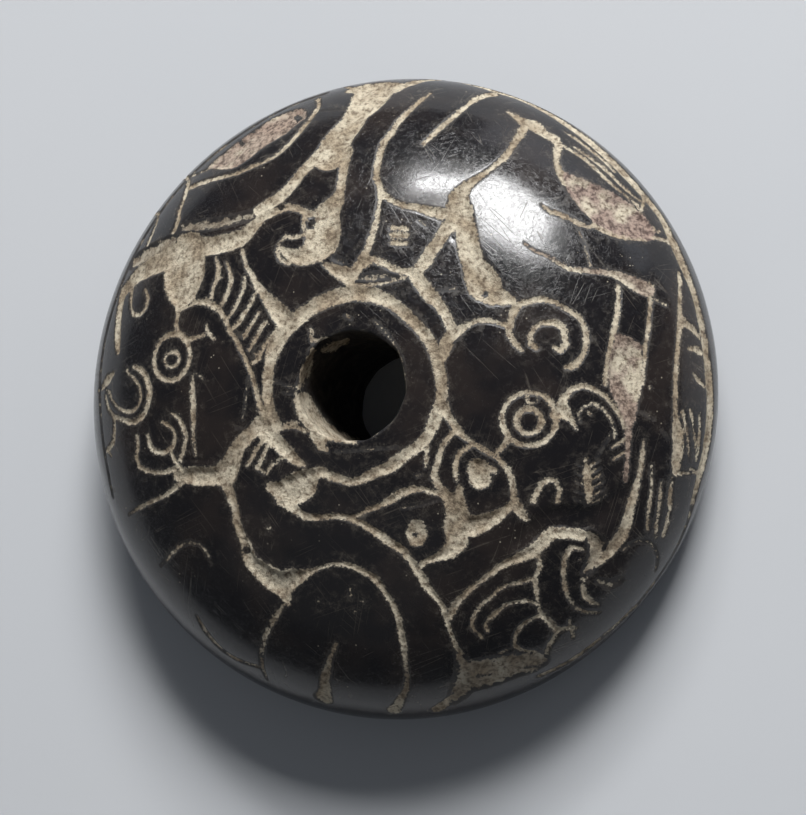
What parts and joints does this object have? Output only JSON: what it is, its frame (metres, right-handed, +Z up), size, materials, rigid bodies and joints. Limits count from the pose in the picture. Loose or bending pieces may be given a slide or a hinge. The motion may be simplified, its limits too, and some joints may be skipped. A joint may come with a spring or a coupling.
{
  "type": "spindle whorl",
  "caption": "Low domed ceramic spindle whorl, black and burnished, carved over its top with curling beasts, pools and combed bands round a plain collar and bore.",
  "frame": {"origin": "middle of the flat base that the whorl lies on, under the middle of its widest ring", "axes": "+Z up along the bore, out of the domed and carved face; +Y towards the broad fork carved at the top of the picture; +X to the picture's right, so the round-eyed beast that faces left is at -X"},
  "size_m": [0.038, 0.038, 0.0125],
  "materials": {
    "burnished_ceramic": "smoke-blackened clay, burnished to a worn gloss, with pale deposit in the carving"
  },
  "bodies": {
    "root": {"whorl": "burnished_ceramic"}
  },
  "joints": []
}
